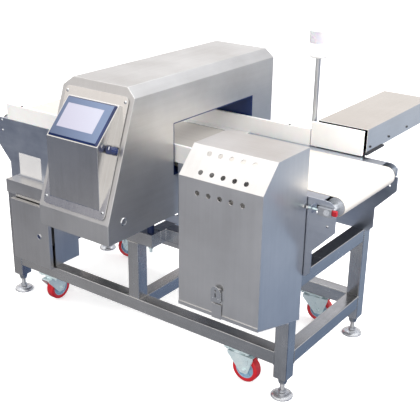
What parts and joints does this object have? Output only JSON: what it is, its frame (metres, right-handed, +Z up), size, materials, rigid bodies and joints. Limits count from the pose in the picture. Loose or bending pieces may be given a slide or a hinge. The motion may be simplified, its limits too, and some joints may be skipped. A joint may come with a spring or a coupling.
{
  "type": "conveyor metal detector",
  "caption": "Belt conveyor through a detector head with a sloped control panel, side pusher and reject bin, on a steel tube stand with feet and casters.",
  "frame": {"origin": "on the floor, under the middle of the whole machine's footprint", "axes": "+Z up, +X along the belt's running direction towards the reject bin, -Y towards the operator's panel"},
  "size_m": [1.549, 1.364, 1.148],
  "materials": {
    "frame_steel": "satin",
    "sheet_steel": "brushed",
    "zinc": "satin",
    "chrome": "polished",
    "roller_steel": "turned",
    "white_plastic": "matte",
    "belt_white": "matte",
    "red_tyre": "satin",
    "red_plastic": "gloss",
    "dark_plastic": "matte",
    "black_paint": "satin",
    "blue_grey_plastic": "satin",
    "screen_glass": "glossy",
    "winding_copper": "varnished",
    "former_plastic": "matte",
    "motor_paint": "satin",
    "dark_steel": "oiled",
    "aluminium": "anodised",
    "lens_plastic": "translucent",
    "gasket": "matte"
  },
  "bodies": {
    "stand": {"legs": "frame_steel", "lower_rails": "frame_steel", "upper_rails": "frame_steel", "caster_plates": "zinc", "head_housing": "sheet_steel", "tunnel_liner": "dark_plastic", "coil_former": "former_plastic", "search_coils": "winding_copper", "head_posts": "dark_plastic", "post_bolts": "zinc", "blanking_plug": "blue_grey_plastic", "control_box": "sheet_steel", "panel_seal": "gasket", "display_bezel": "blue_grey_plastic", "display_screen": "screen_glass", "dome_screws": "zinc", "side_plate_near": "sheet_steel", "side_plate_far": "sheet_steel", "slider_bed": "white_plastic", "belt": "belt_white", "cross_members": "sheet_steel", "tension_screws": "zinc", "slot_cap": "red_plastic", "side_guards": "white_plastic", "gearmotor": "motor_paint", "drive_chain": "dark_steel", "flange_bearings": "dark_steel", "rating_plate": "white_plastic", "bin_body": "sheet_steel", "air_cylinder": "aluminium", "pusher_bracket": "black_paint", "pusher_cover": "sheet_steel", "cabinet_body": "sheet_steel", "cabinet_hood": "sheet_steel", "beacon_pole": "chrome", "beacon_housing": "white_plastic", "beacon_lens": "lens_plastic"},
    "foot_front_left": {"foot_front_left": "chrome"},
    "fork_front_left": {"caster_fork_front_left": "zinc"},
    "wheel_front_left": {"caster_wheel_front_left": "red_tyre"},
    "foot_front_right": {"foot_front_right": "chrome"},
    "fork_front_right": {"caster_fork_front_right": "zinc"},
    "wheel_front_right": {"caster_wheel_front_right": "red_tyre"},
    "foot_back_left": {"foot_back_left": "chrome"},
    "fork_back_left": {"caster_fork_back_left": "zinc"},
    "wheel_back_left": {"caster_wheel_back_left": "red_tyre"},
    "foot_back_right": {"foot_back_right": "chrome"},
    "fork_back_right": {"caster_fork_back_right": "zinc"},
    "wheel_back_right": {"caster_wheel_back_right": "red_tyre"},
    "switch": {"rotary_switch": "dark_plastic"},
    "drive": {"drive_roller": "roller_steel"},
    "sprocket": {"motor_sprocket": "dark_steel"},
    "take_up": {"tension_blocks": "roller_steel"},
    "tail": {"tail_roller": "roller_steel"},
    "pusher": {"pusher_plate": "white_plastic", "pusher_rods": "chrome"},
    "hatch": {"bin_hatch": "sheet_steel"},
    "latch": {"latch_lever": "sheet_steel"},
    "door": {"cabinet_door": "sheet_steel"},
    "lock": {"cam_lock": "dark_plastic"}
  },
  "joints": [
    {"name": "foot_front_left_height", "type": "slide", "parent": "stand", "child": "foot_front_left", "axis": [0, 0, 1], "range_m": [-0.03, 0.008]},
    {"name": "caster_front_left_swivel", "type": "hinge", "parent": "stand", "child": "fork_front_left", "pos_m": [-0.46, -0.367, 0.11], "axis": [0, 0, 1], "continuous": true},
    {"name": "caster_front_left_spin", "type": "hinge", "parent": "fork_front_left", "child": "wheel_front_left", "pos_m": [-0.46, -0.337, 0.055], "axis": [-1, 0, 0], "continuous": true},
    {"name": "foot_front_right_height", "type": "slide", "parent": "stand", "child": "foot_front_right", "axis": [0, 0, 1], "range_m": [-0.03, 0.008]},
    {"name": "caster_front_right_swivel", "type": "hinge", "parent": "stand", "child": "fork_front_right", "pos_m": [0.46, -0.367, 0.11], "axis": [0, 0, 1], "continuous": true},
    {"name": "caster_front_right_spin", "type": "hinge", "parent": "fork_front_right", "child": "wheel_front_right", "pos_m": [0.49, -0.367, 0.055], "axis": [0, 1, 0], "continuous": true},
    {"name": "foot_back_left_height", "type": "slide", "parent": "stand", "child": "foot_back_left", "axis": [0, 0, 1], "range_m": [-0.03, 0.008]},
    {"name": "caster_back_left_swivel", "type": "hinge", "parent": "stand", "child": "fork_back_left", "pos_m": [-0.46, 0.151, 0.11], "axis": [0, 0, 1], "continuous": true},
    {"name": "caster_back_left_spin", "type": "hinge", "parent": "fork_back_left", "child": "wheel_back_left", "pos_m": [-0.48719, 0.13832, 0.055], "axis": [0.4226, -0.9063, 0], "continuous": true},
    {"name": "foot_back_right_height", "type": "slide", "parent": "stand", "child": "foot_back_right", "axis": [0, 0, 1], "range_m": [-0.03, 0.008]},
    {"name": "caster_back_right_swivel", "type": "hinge", "parent": "stand", "child": "fork_back_right", "pos_m": [0.46, 0.151, 0.11], "axis": [0, 0, 1], "continuous": true},
    {"name": "caster_back_right_spin", "type": "hinge", "parent": "fork_back_right", "child": "wheel_back_right", "pos_m": [0.48971, 0.15518, 0.055], "axis": [-0.1392, 0.9903, 0], "continuous": true},
    {"name": "rotary_switch_turn", "type": "hinge", "parent": "stand", "child": "switch", "pos_m": [0.126, -0.61974, 0.83155], "axis": [0, -0.9397, 0.342], "range_deg": [0, 90]},
    {"name": "drive_roller_spin", "type": "hinge", "parent": "stand", "child": "drive", "pos_m": [-0.742, -0.108, 0.6915], "axis": [0, 1, 0], "continuous": true},
    {"name": "motor_sprocket_spin", "type": "hinge", "parent": "stand", "child": "sprocket", "pos_m": [-0.635, -0.108, 0.548], "axis": [0, 1, 0], "continuous": true},
    {"name": "belt_take_up", "type": "slide", "parent": "stand", "child": "take_up", "axis": [-1, 0, 0], "range_m": [0, 0.005]},
    {"name": "tail_roller_spin", "type": "hinge", "parent": "take_up", "child": "tail", "pos_m": [0.742, -0.108, 0.6915], "axis": [0, 1, 0], "continuous": true},
    {"name": "pusher_stroke", "type": "slide", "parent": "stand", "child": "pusher", "axis": [0, -1, 0], "range_m": [0, 0.38]},
    {"name": "bin_hatch_drop", "type": "hinge", "parent": "stand", "child": "hatch", "pos_m": [0.518, -0.408, 0.30778], "axis": [1, 0, 0], "range_deg": [0, 75]},
    {"name": "latch_lever_turn", "type": "hinge", "parent": "stand", "child": "latch", "pos_m": [0.518, -0.6003, 0.425], "axis": [1, 0, 0], "range_deg": [0, 90]},
    {"name": "cabinet_door_swing", "type": "hinge", "parent": "stand", "child": "door", "pos_m": [-0.6195, -0.395, 0.3015], "axis": [0, 0, -1], "range_deg": [0, 95]},
    {"name": "cam_lock_turn", "type": "hinge", "parent": "door", "child": "lock", "pos_m": [-0.467, -0.408, 0.3015], "axis": [0, 1, 0], "range_deg": [0, 90]}
  ],
  "couplings": [
    {"joint": "motor_sprocket_spin", "follows": "drive_roller_spin", "ratio": 1},
    {"joint": "tail_roller_spin", "follows": "drive_roller_spin", "ratio": 1}
  ]
}
